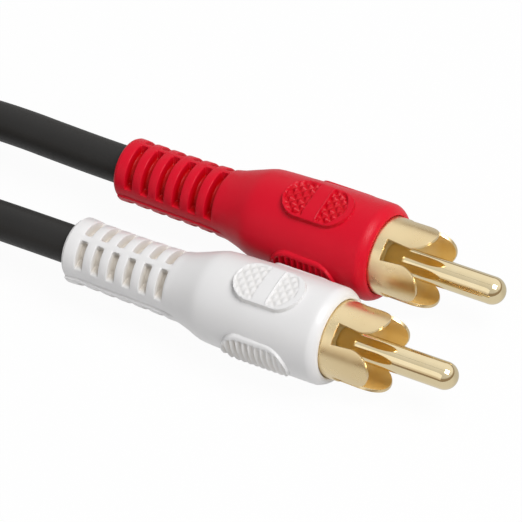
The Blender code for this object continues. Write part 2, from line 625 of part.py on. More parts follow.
def stereo_plug(black, gold, pale, copper):
    place = empty_at("stereo_place", (STEREO_COLLAR_X, 0, STEREO_Z), math.pi)
    radius = STEREO_DIAMETER / 2
    rod_r = STEREO_ROD_DIAMETER / 2
    tube_in = rod_r + SEAT_GAP
    tube_out = tube_in + STEREO_TUBE_WALL
    sleeve_in = tube_out + FINE_GAP
    tip_x = STEREO_SHAFT
    neck_x = tip_x - STEREO_TIP
    ring_x = neck_x - STEREO_BAND - 2 * FINE_GAP
    ring_end = ring_x - STEREO_RING
    sleeve_x = ring_end - STEREO_BAND - 2 * FINE_GAP
    tail = -STEREO_TAIL

    rod_end = tail - STEREO_ROD_TAIL
    tip = [(tip_x - back * STEREO_TIP, share * radius) for back, share in STEREO_TIP_SHAPE]
    tip += [(neck_x, radius), (neck_x, rod_r), (rod_end, rod_r), (rod_end, 0)]
    turned("stereo_plug_tip", tip, gold, place, FINE_STEPS)
    band_r = radius - STEREO_BAND_SINK
    first = neck_x - FINE_GAP
    end = first - STEREO_BAND
    band = [(first, tube_in), (first, band_r), (end, band_r), (end, tube_in)]
    turned("stereo_front_insulator", band, pale, place, FINE_STEPS)
    tube_end = tail - STEREO_RING_TAIL
    ring = [(ring_x, tube_in), (ring_x, radius), (ring_end, radius), (ring_end, tube_out)]
    ring += [(tube_end, tube_out), (tube_end, tube_in)]
    turned("stereo_plug_ring", ring, gold, place, FINE_STEPS)
    second = ring_end - FINE_GAP
    end = second - STEREO_BAND
    band = [(second, sleeve_in), (second, band_r), (end, band_r), (end, sleeve_in)]
    turned("stereo_rear_insulator", band, pale, place, FINE_STEPS)
    collar_r = COLLAR_DIAMETER / 2
    flange_r = radius + STEREO_TAIL_FLANGE
    sleeve = [(sleeve_x, sleeve_in), (sleeve_x, radius), (COLLAR_THICKNESS, radius)]
    sleeve += [(COLLAR_THICKNESS, collar_r), (0, collar_r), (0, flange_r)]
    sleeve += [(tail, flange_r), (tail, sleeve_in)]
    turned("stereo_plug_sleeve", sleeve, gold, place, FINE_STEPS)

    front = -SEAT_GAP
    body_end = -STEREO_BODY_LENGTH
    boot_x = body_end - STEREO_CONE_LENGTH
    rear = -STEREO_LENGTH
    boot_r = TRUNK_BORE_R + STEREO_BOOT_WALL
    hollow_r = flange_r + SEAT_GAP
    hollow_end = rear + JACKET_GRIP - HOLLOW_OVERLAP
    curve = STEREO_NOSE_ROUND
    profile = [(front, hollow_r)] + rounded_corner(front - curve, STEREO_BODY_R - curve, curve, 0, 90, 4)
    profile += [(body_end, STEREO_BODY_R), (boot_x, boot_r)]
    profile += rounded_corner(rear + BOOT_END_ROUND, boot_r - BOOT_END_ROUND, BOOT_END_ROUND, 90, 180, 3)
    profile += [(rear, TRUNK_BORE_R), (hollow_end, TRUNK_BORE_R), (hollow_end + STEREO_HOLLOW_STEP, hollow_r)]
    moulding = turned("stereo_plug_moulding", profile, black, place)
    first_slot = rear + SLOT_END_LAND + SLOT_WIDTH / 2
    radii = (TRUNK_BORE_R + SLOT_FLOOR_WALL, boot_r + CUTTER_OVERRUN)
    slots = relief_slots("stereo_slot_tool", first_slot, STEREO_SLOT_COUNT, STEREO_SLOT_ARCS, radii, place)
    add_boolean(moulding, slots, "DIFFERENCE")

    wire_r = STEREO_WIRE_DIAMETER / 2
    jacket_x = rear + JACKET_GRIP + SEAT_GAP
    wires = (
        ("tip", 0.0, Vector((rod_end - SEAT_GAP, 0, 0))),
        ("ring", STEREO_WIRE_SPREAD, Vector((tail - SEAT_GAP, 0, tube_out + SEAT_GAP + wire_r))),
        ("sleeve", -STEREO_WIRE_SPREAD, Vector((tail - SEAT_GAP, 0, -radius))),
    )
    for name, jacket_z, contact in wires:
        start = Vector((jacket_x, 0, jacket_z))
        tube(f"stereo_{name}_wire", [start, start.lerp(contact, 0.5), contact], wire_r, copper, place, 2)


def build():
    clear_scene()
    red = plain_material("red moulding", (0.58, 0.014, 0.028), 0.45)
    white = plain_material("white moulding", (0.80, 0.79, 0.79), 0.45)
    black = plain_material("black jacket", (0.031, 0.029, 0.029), 0.6)
    gold = plain_material("gold plate", (0.80, 0.62, 0.27), 0.18, 1.0)
    copper = plain_material("copper", (0.72, 0.34, 0.2), 0.35, 1.0)
    pale = plain_material("pale plastic", (0.75, 0.74, 0.68), 0.5)
    plugs = (("red", red, RED_TIP, RED_SLOT_ARCS), ("white", white, WHITE_TIP, WHITE_SLOT_ARCS))
    for colour, material, tip, arcs in plugs:
        place = empty_at(f"{colour}_plug_place", tip)
        phono_moulding(colour, material, arcs, place)
        phono_shell(colour, gold, place)
        phono_insides(colour, (gold, pale, copper, pale), place)
        side = math.copysign(1, tip.y)
        tube(f"{colour}_leg", smooth_points(leg_route(tip, side), ROUTE_STEP * LEG_DIAMETER), LEG_R, black)
    junction(black, copper)
    tube("trunk", smooth_points(trunk_route(), ROUTE_STEP * TRUNK_DIAMETER), TRUNK_R, black)
    stereo_plug(black, gold, pale, copper)


build()
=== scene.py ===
import math

import bmesh
import bpy
import numpy as np
from mathutils import Matrix, Vector


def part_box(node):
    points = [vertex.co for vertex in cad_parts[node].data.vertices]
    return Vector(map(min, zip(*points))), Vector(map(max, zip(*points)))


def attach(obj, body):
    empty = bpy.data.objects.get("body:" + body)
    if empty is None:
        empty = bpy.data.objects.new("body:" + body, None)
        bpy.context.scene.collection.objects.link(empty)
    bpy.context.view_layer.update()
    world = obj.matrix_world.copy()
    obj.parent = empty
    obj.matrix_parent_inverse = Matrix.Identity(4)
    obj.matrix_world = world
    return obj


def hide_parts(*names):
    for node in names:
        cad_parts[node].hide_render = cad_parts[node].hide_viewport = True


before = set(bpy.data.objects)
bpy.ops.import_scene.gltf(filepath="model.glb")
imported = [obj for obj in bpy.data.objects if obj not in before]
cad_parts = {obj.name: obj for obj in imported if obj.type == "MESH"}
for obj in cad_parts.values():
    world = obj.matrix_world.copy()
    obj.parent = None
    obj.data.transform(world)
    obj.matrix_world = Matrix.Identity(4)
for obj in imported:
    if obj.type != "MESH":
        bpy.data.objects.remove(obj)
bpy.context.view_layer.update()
mm = 0.001


def tipOf(colour):
    # Where the pin of a phono plug ends, on its axis
    low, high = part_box(colour + "_plug_pin")
    return Vector((high.x, (low.y + high.y) / 2, (low.z + high.z) / 2))


plugTip = {"red": tipOf("red"), "white": tipOf("white")}

# Camera
camera = {
    "back": (0.4583, -0.4628, 0.7588),      # from the plugs towards the lens
    "right": (0.8403, 0.5039, -0.2000),
    "distance": 600,
    "ballRight": 25.63,                     # where the red pin's ball stands off the middle of the view
    "ballDown": 3.252,
    "lens": 373.2,
}


def setCamera():
    back = Vector(camera["back"]).normalized()
    right = Vector(camera["right"])
    right = (right - back * right.dot(back)).normalized()
    up = back.cross(right)
    ball = plugTip["red"] - Vector((1.6 * mm, 0, 0))
    place = ball + (back * camera["distance"] - right * camera["ballRight"] + up * camera["ballDown"]) * mm
    data = bpy.data.cameras.new("camera")
    data.sensor_width = 36
    data.lens = camera["lens"]
    data.clip_start = 0.01
    data.clip_end = 20
    made = bpy.data.objects.new("camera", data)
    turn = Matrix((right, up, back)).transposed().to_4x4()
    made.matrix_world = Matrix.Translation(place) @ turn
    bpy.context.scene.collection.objects.link(made)
    bpy.context.scene.camera = made


# Materials
def linear(code):
    # An sRGB hex colour as the linear colour that the shader takes
    parts = [int(code[i:i + 2], 16) / 255 for i in (0, 2, 4)]
    parts = [c / 12.92 if c <= 0.04045 else ((c + 0.055) / 1.055) ** 2.4 for c in parts]
    return (*parts, 1.0)


def addNode(tree, kind, inputs=None, **settings):
    node = tree.nodes.new(kind)
    for name, value in settings.items():
        setattr(node, name, value)
    for socket, value in (inputs or {}).items():
        if isinstance(value, bpy.types.NodeSocket):
            tree.links.new(value, node.inputs[socket])
        else:
            node.inputs[socket].default_value = value
    return node


def newMaterial(name):
    material = bpy.data.materials.new(name)
    material.use_nodes = True
    tree = material.node_tree
    shader = tree.nodes["Principled BSDF"]
    place = addNode(tree, "ShaderNodeTexCoord").outputs["Object"]
    return material, tree, shader, place


spans = {
    "noseGrain": (-2, 9),                   # along X in millimetres: where a plug's grain sharpens towards its nose
    "paintedLightSpan": (14, 11),                   # and over which painted light pales the gold towards a shell's root
}


def mouldedPvc(name, look):
    # Injection-moulded soft PVC: spark-eroded tool grain, slight flow clouds and a satin sheen. Down in slots, knurling
    # and ridges and on the thumb pads' walls it has painted shade, a deeper tone, and its grain is sharpest at a plug's
    # nose, where the tool is rougher
    material, tree, shader, place = newMaterial(name)
    grain = addNode(tree, "ShaderNodeTexNoise", {"Vector": place, "Scale": 1 / (look["grain"] * mm), "Detail": 2.0,
                                                 "Roughness": 0.6})
    clouds = addNode(tree, "ShaderNodeTexNoise", {"Vector": place, "Scale": 1 / (look["clouds"] * mm),
                                                  "Detail": 3.0})
    tone = addNode(tree, "ShaderNodeMix", {"Factor": clouds.outputs["Fac"], 6: linear(look["deep"]),
                                           7: linear(look["colour"])}, data_type="RGBA")
    # Painted shade: the colour goes towards the shade colour as far as the moulding's attribute says a point is sunk
    paintedShade = addNode(tree, "ShaderNodeAttribute", attribute_name="paintedShade")
    sunk = addNode(tree, "ShaderNodeMix", {"Factor": paintedShade.outputs["Fac"], 6: tone.outputs[2],
                                           7: linear(look["paintedShade"])}, data_type="RGBA")
    speck = addNode(tree, "ShaderNodeMapRange", {"Value": grain.outputs["Fac"], "From Min": 0.3, "From Max": 0.7,
                                                 "To Min": look["rough"] - look["roughSpread"],
                                                 "To Max": look["rough"] + look["roughSpread"]})
    parts = addNode(tree, "ShaderNodeSeparateXYZ", {"Vector": place})
    start, end = spans["noseGrain"]
    nose = addNode(tree, "ShaderNodeMapRange", {"Value": parts.outputs["X"], "From Min": start * mm,
                                                "From Max": end * mm, "To Min": look["grainStrength"],
                                                "To Max": look["noseStrength"]})
    waves = addNode(tree, "ShaderNodeBump", {"Height": clouds.outputs["Fac"], "Distance": look["wave"] * mm,
                                             "Strength": 0.4})
    bump = addNode(tree, "ShaderNodeBump", {"Height": grain.outputs["Fac"], "Distance": look["grainHeight"] * mm,
                                            "Strength": nose.outputs["Result"], "Normal": waves.outputs["Normal"]})
    tree.links.new(sunk.outputs[2], shader.inputs["Base Color"])
    tree.links.new(speck.outputs["Result"], shader.inputs["Roughness"])
    tree.links.new(bump.outputs["Normal"], shader.inputs["Normal"])
    shader.inputs["IOR"].default_value = 1.53
    shader.inputs["Specular IOR Level"].default_value = look["shine"]
    return material


def goldPlate(name, look):
    # Flash gold over bright nickel on stamped or turned brass: mirror-like, with soft draw lines. Inside a shell
    # the plating is matt, so it is metal in part only. Its colour has painted light, paler towards a shell's root
    material, tree, shader, place = newMaterial(name)
    along = addNode(tree, "ShaderNodeMapping", {"Vector": place, "Scale": (0.12, 1.0, 1.0)})
    lines = addNode(tree, "ShaderNodeTexNoise", {"Vector": along.outputs["Vector"], "Scale": 1 / (0.16 * mm),
                                                 "Detail": 2.0})
    haze = addNode(tree, "ShaderNodeTexNoise", {"Vector": place, "Scale": 1 / (1.6 * mm), "Detail": 3.0})
    rough = addNode(tree, "ShaderNodeMapRange", {"Value": haze.outputs["Fac"], "From Min": 0.3, "From Max": 0.7,
                                                 "To Min": look["rough"] * 0.8, "To Max": look["rough"] * 1.25})
    tone = addNode(tree, "ShaderNodeMix", {"Factor": haze.outputs["Fac"], 6: linear(look["deep"]),
                                           7: linear(look["colour"])}, data_type="RGBA")
    parts = addNode(tree, "ShaderNodeSeparateXYZ", {"Vector": place})
    # Painted light: the colour pales from 14 mm to 11 mm along X, towards the phono shells' root, and stays pale behind
    start, end = spans["paintedLightSpan"]
    paintedLight = addNode(tree, "ShaderNodeMapRange", {"Value": parts.outputs["X"], "From Min": start * mm,
                                                  "From Max": end * mm, "To Min": 0.0, "To Max": 1.0})
    tone = addNode(tree, "ShaderNodeMix", {"Factor": paintedLight.outputs["Result"], 6: tone.outputs[2],
                                           7: linear(look["root"])}, data_type="RGBA")
    bump = addNode(tree, "ShaderNodeBump", {"Height": lines.outputs["Fac"], "Distance": 0.004 * mm,
                                            "Strength": look["lineStrength"]})
    tree.links.new(tone.outputs[2], shader.inputs["Base Color"])
    tree.links.new(rough.outputs["Result"], shader.inputs["Roughness"])
    tree.links.new(bump.outputs["Normal"], shader.inputs["Normal"])
    shader.inputs["Metallic"].default_value = look["metal"]
    return material


def plainMetal(name, look):
    # Drawn copper strands or dipped solder, seen only with the mouldings cut open
    material, tree, shader, place = newMaterial(name)
    strands = addNode(tree, "ShaderNodeTexNoise", {"Vector": place, "Scale": 1 / (0.25 * mm), "Detail": 3.0})
    tone = addNode(tree, "ShaderNodeMix", {"Factor": strands.outputs["Fac"], 6: linear(look["deep"]),
                                           7: linear(look["colour"])}, data_type="RGBA")
    bump = addNode(tree, "ShaderNodeBump", {"Height": strands.outputs["Fac"], "Distance": 0.03 * mm,
                                            "Strength": 0.4})
    tree.links.new(tone.outputs[2], shader.inputs["Base Color"])
    tree.links.new(bump.outputs["Normal"], shader.inputs["Normal"])
    shader.inputs["Metallic"].default_value = 1.0
    shader.inputs["Roughness"].default_value = look["rough"]
    return material


looks = {
    # A plastic's colour for slots, knurling, ridges and pad walls is painted shade
    "redPvc": {"colour": "D8102B", "deep": "C80622", "paintedShade": "B40006", "grain": 0.17, "clouds": 9, "rough": 0.38,
               "roughSpread": 0.07, "wave": 0.04, "grainHeight": 0.03, "grainStrength": 0.3,
               "noseStrength": 1.0, "shine": 0.17},
    "whitePvc": {"colour": "E5E4E4", "deep": "E0DFDF", "paintedShade": "D2CBC1", "grain": 0.25, "clouds": 8,
                 "rough": 0.34, "roughSpread": 0.04, "wave": 0.04, "grainHeight": 0.012, "grainStrength": 0.25,
                 "noseStrength": 0.4, "shine": 0.36},
    "blackPvc": {"colour": "222120", "deep": "1B1A19", "paintedShade": "131212", "grain": 0.22, "clouds": 6,
                 "rough": 0.42, "roughSpread": 0.05, "wave": 0.04, "grainHeight": 0.02, "grainStrength": 0.4,
                 "noseStrength": 0.4, "shine": 0.4},
    "jacketPvc": {"colour": "232221", "deep": "1D1C1B", "paintedShade": "1D1C1B", "grain": 0.3, "clouds": 4,
                  "rough": 0.5, "roughSpread": 0.06, "wave": 0.06, "grainHeight": 0.02, "grainStrength": 0.35,
                  "noseStrength": 0.35, "shine": 0.26},
    "polythene": {"colour": "E4E1D6", "deep": "D8D4C6", "paintedShade": "D8D4C6", "grain": 0.3, "clouds": 3,
                  "rough": 0.4, "roughSpread": 0.05, "wave": 0.03, "grainHeight": 0.01, "grainStrength": 0.3,
                  "noseStrength": 0.3, "shine": 0.5},
    "insulatorNylon": {"colour": "1E1E1E", "deep": "161616", "paintedShade": "161616", "grain": 0.2, "clouds": 3,
                       "rough": 0.35, "roughSpread": 0.05, "wave": 0.02, "grainHeight": 0.01,
                       "grainStrength": 0.3, "noseStrength": 0.3, "shine": 0.5},
    # A gold's root colour is painted light, for the shells' root and what lies behind it
    "shellGold": {"colour": "E8D3A7", "deep": "E0C89A", "root": "E8D3A7", "rough": 0.3, "lineStrength": 0.25,
                  "metal": 1.0},
    "innerGold": {"colour": "F6D07C", "deep": "EEC168", "root": "FFEAB4", "rough": 0.36, "lineStrength": 0.2,
                  "metal": 0.25},
    "pinGold": {"colour": "E9D9B4", "deep": "E2CFA4", "root": "F3E2B4", "rough": 0.07, "lineStrength": 0.02,
                "metal": 1.0},
    "copper": {"colour": "E09A72", "deep": "C77C52", "rough": 0.35},
    "solder": {"colour": "C9C8C4", "deep": "A9A8A4", "rough": 0.32},
}

redPvc = mouldedPvc("red moulded PVC", looks["redPvc"])
whitePvc = mouldedPvc("white moulded PVC", looks["whitePvc"])
blackPvc = mouldedPvc("black moulded PVC", looks["blackPvc"])
jacketPvc = mouldedPvc("black PVC cable jacket", looks["jacketPvc"])
polythene = mouldedPvc("natural polythene", looks["polythene"])
insulatorNylon = mouldedPvc("black nylon insulator", looks["insulatorNylon"])
shellGold = goldPlate("gold-plated stamped brass", looks["shellGold"])
innerGold = goldPlate("gold plate inside a shell", looks["innerGold"])
pinGold = goldPlate("gold-plated turned brass", looks["pinGold"])
copperWire = plainMetal("bare copper strands", looks["copper"])
solderTin = plainMetal("tinned splice", looks["solder"])
print("materials made")


# Small tools
def addPiece(name, data, material, slot, *nodes):
    data.materials.clear()
    data.materials.append(material)
    made = bpy.data.objects.new(name, data)
    bpy.context.scene.collection.objects.link(made)
    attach(made, "root")
    if nodes:
        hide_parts(*nodes)
    return made


def latheMesh(profile, steps):
    # Spins profile points (x, radius) in millimetres about X; a radius of 0 closes the end
    shape = bmesh.new()
    points = [shape.verts.new((x, 0, radius)) for x, radius in profile]
    edges = [shape.edges.new(pair) for pair in zip(points, points[1:])]
    bmesh.ops.spin(shape, geom=points + edges, cent=(0, 0, 0), axis=(1, 0, 0), angle=2 * math.pi, steps=steps,
                   use_merge=True)
    bmesh.ops.remove_doubles(shape, verts=shape.verts, dist=1e-5)
    bmesh.ops.recalc_face_normals(shape, faces=shape.faces)
    return shape


def finishMesh(name, shape, place, sharp=50, facesBack=False):
    # Places a millimetre mesh on the part, turned round where it faces back, and shades it
    turn = Matrix.Rotation(math.pi, 4, "Z") if facesBack else Matrix()
    bmesh.ops.transform(shape, matrix=Matrix.Translation(place) @ turn @ Matrix.Scale(mm, 4), verts=shape.verts)
    data = bpy.data.meshes.new(name)
    shape.to_mesh(data)
    shape.free()
    data.shade_smooth()
    data.set_sharp_from_angle(angle=math.radians(sharp))
    return data


def rounding(x, radius, size, start, end, steps):
    # Points of an arc about (x, radius), its angle measured from +X towards the outside
    angles = [math.radians(start + (end - start) * i / steps) for i in range(steps + 1)]
    return [(x + size * math.cos(a), radius + size * math.sin(a)) for a in angles]


def softMin(a, b, size):
    # The smaller of two, with a fillet of this size where they meet
    h = np.maximum(size - np.abs(a - b), 0) / size
    return np.minimum(a, b) - h * h * size / 4


def softMax(a, b, size):
    return -softMin(-a, -b, size)


def ramp(value, start, end):
    # Rises smoothly from 0 at start to 1 at end
    t = np.clip((value - start) / (end - start), 0, 1)
    return t * t * (3 - 2 * t)


def angleFrom(phi, centre):
    # Degrees past a centre, from -180 to 180
    return (phi - centre + 180) % 360 - 180


# Phono plug mouldings
moulding = {
    "nose": -15.1,
    "rear": -50.0,
    "steps": 320,
    # Outside radius along the plug, from the boot's end to the crease before the nose
    "outside": ((-50.0, 3.62), (-46.0, 3.66), (-41.0, 3.70), (-38.0, 3.76), (-36.4, 3.84), (-35.2, 4.06),
                (-33.2, 4.68), (-32.0, 5.10), (-31.2, 5.32), (-29.8, 5.41), (-27.0, 5.50), (-24.6, 5.60),
                (-20.0, 5.71), (-17.0, 5.72), (-16.2, 5.70)),
    "chamfer": ((-16.05, 5.655), (-15.9, 5.6), (-15.7, 5.50), (-15.45, 5.33), (-15.25, 5.13), (-15.13, 4.92),
                (-15.1, 4.72)),
    "slotCentres": (-47.8, -45.6, -43.4, -41.2, -39.0, -36.8),
    "slotHalf": 0.5,
    "slotFloor": 2.6,
    "slotEndRound": 0.42,
    "ledgeRadius": 3.66,                    # the boot's, where a slot's ledge starts
    "slotMargin": 0.12,                     # how far a slot's soft edge reaches past its end
    "fullShadeDepth": 0.5,                      # the depth at which a slot has its deepest painted shade
    # Distance in from the slot's edge, and how much of its depth is reached there
    "slotWall": ((-0.12, 0.0), (-0.08, 0.012), (-0.045, 0.04), (-0.015, 0.085), (0.0, 0.14), (0.02, 0.86),
                 (0.07, 0.95), (0.16, 1.0)),
    "padMiddle": -23.1,
    "padHalfLength": 4.4,
    "padDegrees": 48,                       # a pad's top is within this of its middle
    "padFillet": 0.1,                       # between a pad's top and its wall
    "thumbHalfWidth": 2.62,
    "thumbTop": 6.0,
    "thumbCrown": 5.0,
    "thumbFlat": 0.9,
    "thumbTaper": 0.98,                     # crown and knurling are laid out this much narrower
    "thumbFoot": 0.12,                      # fillet where a thumb pad's wall meets the body
    "thumbDegrees": 35,                     # a thumb pad's painted shade reaches this far from its middle
    "bandMiddle": -23.1,
    "bandHalf": 0.95,
    "bandEdge": 0.1,                        # over which the knurling gives way to the band
    "beadHeight": 0.15,                     # a thin raised line on the band's nose side
    "beadHalf": 0.13,
    "beadInset": 0.06,
    "beadEnds": (0.05, 0.3),                # in from the pad's outline, where it begins and where it is whole
    "knurlPitch": 0.863,
    "knurlDepth": 0.36,
    "knurlRim": 0.12,                       # plain rim round the knurling
    "knurlNoseRim": 0.6,                    # how much wider the rim is at the nose end
    "knurlNoseSpan": (2.0, 3.4),            # distance from the pad's middle over which it widens
    "knurlEdge": 0.2,
    "knurlPeak": 1.12,                      # above 1, the diamonds' points are flat
    "sideMiddle": -5.4,                     # degrees below the parting plane
    "sideHalfWidth": 2.65,
    "sideTop": 6.06,
    "sideFoot": 0.06,                       # fillet where a side pad's wall meets the body
    "sideDegrees": 29,                      # and how far its painted shade reaches
    "ridgePitch": 0.805,
    "ridgeDepth": 0.42,
    "ridgeEdge": (0.08, 0.5),               # in from the outline, where ridges begin and where they are whole
    "bootFade": (-36.4, -34.4),             # where the parting line's relief fades out towards the body
    "lipRise": 1.6,                         # degrees over which the lower half steps out
    "lipFade": (45, 80),                    # and over which it comes back
    "groovePlace": 0.6,                     # degrees above the parting line, and half its width in degrees
    "grooveHalf": 1.4,
    "flareSpan": (-49.2, -47.9),            # where the end ring widens
    "endRing": -48.6,                       # what lies behind this, and outside the bore, moves back with the end
    "endBore": 2.4,
    "bend": 0.2,                            # how far the boots lean to the white plug's side
    "bendSpan": (32.5, 37),                 # distance behind the tip over which they come to lean
    "bendBack": (42, 50),                   # and over which half of it goes again
}

# What differs between the two tools. Arcs are the slots of the strain relief, each from its end at the parting line
# to its other end in degrees, and scoop is the distance over which they reach full depth. Seam is the parting
# line's angle. Lip, groove and flare are the height of the lower half's edge, the depth of the line beside it and
# the widening of the end ring, and longer is how much further back the boot ends. The white knurling is worn
redRelief = {"arcs": ((14, 112), (166, 122), (-14, -80), (-166, -94)), "scoop": 0.3, "seam": -5.0, "lip": 0.15,
             "groove": 0.06, "flare": 0.06, "longer": 0.0, "knurlShare": 1.0}
whiteRelief = {"arcs": ((16, 75), (158, 87), (-14, -81), (-166, -94)), "scoop": 1.2, "seam": -5.4, "lip": 0.22,
               "groove": 0.12, "flare": 0.16, "longer": 0.32, "knurlShare": 0.4}


def outsideRadius(x):
    xs, radii = zip(*moulding["outside"])
    return np.interp(x, xs, radii)


def mouldingLines():
    # Where rings of points run round the moulding: close together at slots and finger pads
    lines = list(np.arange(-49.5, -16.3, 0.55))
    half = moulding["slotHalf"]
    for centre in moulding["slotCentres"]:
        lines = [x for x in lines if abs(x - centre) > half + 0.2]
        lines += [centre + side * (half - inside) for side in (-1, 1) for inside, _ in moulding["slotWall"]]
        lines.append(centre)
    low, high = [moulding["padMiddle"] + side * (moulding["padHalfLength"] + 0.25) for side in (-1, 1)]
    lines = [x for x in lines if x < low - 0.2 or x > high + 0.2]
    lines += list(np.arange(low, high, 0.08)) + [-16.2]
    return sorted(lines)


def cutSlots(x, phi, radius, relief):
    # Slots open towards the mould's halves: their parting line end is a level ledge, the other end is round
    xs, depths = zip(*moulding["slotWall"])
    outside = radius.copy()
    for centre in moulding["slotCentres"]:
        inside = moulding["slotHalf"] - np.abs(x - centre)
        wall = np.interp(inside, xs, depths)
        for seamEnd, topEnd in relief["arcs"]:
            side = math.copysign(1, topEnd - seamEnd)
            toSeam = np.radians(angleFrom(phi, seamEnd)) * side * outside
            toTop = -np.radians(angleFrom(phi, topEnd)) * side * outside
            size = moulding["slotEndRound"]
            corner = size - np.hypot(np.maximum(size - toTop, 0), np.maximum(size - inside, 0))
            ends = np.interp(np.minimum(toTop, np.where(inside > 0, corner, toTop)), xs, depths)
            level = moulding["ledgeRadius"] * math.sin(math.radians(abs(seamEnd)))
            ledge = level / np.maximum(np.abs(np.sin(np.radians(phi))), 0.01)
            floor = np.clip(ledge, moulding["slotFloor"], outside)
            floor = outside - (outside - floor) * ramp(toSeam, 0, relief["scoop"])
            cut = np.minimum(wall, ends) * ((toSeam > 0) & (toTop > -moulding["slotMargin"]))
            radius = np.minimum(radius, outside - cut * (outside - floor))
    return radius


def raisePad(x, phi, radius, centre, halfWidth, top, soft):
    # A pad with upright walls: its edge stands at the outline's half width, whatever the angle
    away = np.radians(angleFrom(phi, centre))
    near = np.abs(away) < math.radians(moulding["padDegrees"])
    straight = moulding["padHalfLength"] - halfWidth
    beyond = np.maximum(np.abs(x - moulding["padMiddle"]) - straight, 0)
    width = np.sqrt(np.maximum(halfWidth**2 - beyond**2, 0))
    wall = width / np.maximum(np.abs(np.sin(away)), 0.004)
    pad = softMin(top / np.cos(np.where(near, away, 0)), wall, moulding["padFillet"])
    return np.where(near, softMax(radius, pad, soft), radius)


def padInside(x, aside, halfWidth):
    # How far a point of a pad's top is in from the pad's outline
    straight = moulding["padHalfLength"] - halfWidth
    beyond = np.maximum(np.abs(x - moulding["padMiddle"]) - straight, 0)
    return halfWidth - np.sqrt(beyond**2 + aside**2)


def thumbTops(x, phi, centre, relief):
    # A crowned top with diamond knurling on both sides of a plain band
    away = np.radians(np.clip(angleFrom(phi, centre), -60, 60))
    aside = moulding["thumbTop"] * np.tan(away) * moulding["thumbTaper"]
    crown = moulding["thumbCrown"]
    beyond = np.clip(np.abs(aside) - moulding["thumbFlat"], 0, crown * 0.9)
    top = moulding["thumbTop"] - (crown - np.sqrt(crown**2 - beyond**2))
    fromBand = x - moulding["bandMiddle"]
    offBand = ramp(np.abs(fromBand), moulding["bandHalf"], moulding["bandHalf"] + moulding["bandEdge"])
    along = np.abs(fromBand) - moulding["bandHalf"] + moulding["bandEdge"]
    turned = moulding["knurlPitch"] * math.sqrt(2)
    u, v = (along + aside) / turned, (along - aside) / turned
    bumps = 1 - 2 * np.maximum(np.abs(u % 1 - 0.5), np.abs(v % 1 - 0.5))
    start, end = moulding["knurlNoseSpan"]
    rim = moulding["knurlRim"] + moulding["knurlNoseRim"] * ramp(x, moulding["padMiddle"] + start,
                                                                 moulding["padMiddle"] + end)
    inside = padInside(x, aside, moulding["thumbHalfWidth"])
    sunk = ramp(inside, rim, rim + moulding["knurlEdge"]) * offBand
    low = 1 - np.clip(bumps * moulding["knurlPeak"], 0, 1)
    if centre > 0:
        # The line is on the upper pad only, since the plug lies on the lower one
        offLine = np.abs(fromBand - moulding["bandHalf"] + moulding["beadInset"])
        bead = np.clip(1 - offLine / moulding["beadHalf"], 0, 1)
        top = top + moulding["beadHeight"] * bead * ramp(inside, *moulding["beadEnds"])
    return top - moulding["knurlDepth"] * relief["knurlShare"] * sunk * low, sunk * low


def sideTops(x, phi, centre):
    # A round top with a narrow upper rim, and ridges that run from it over the lower edge
    away = np.radians(np.clip(angleFrom(phi, centre), -60, 60))
    aside = moulding["sideTop"] * np.tan(away)
    height = np.sqrt(np.maximum(moulding["sideTop"]**2 - aside**2, 0.1))
    upward = aside if centre < 90 else -aside
    inside = padInside(x, np.maximum(upward, 0), moulding["sideHalfWidth"])
    wave = np.abs(((x - moulding["padMiddle"]) / moulding["ridgePitch"]) % 1 - 0.5) * 2
    sunk = wave * ramp(inside, *moulding["ridgeEdge"])
    return height - moulding["ridgeDepth"] * sunk, sunk


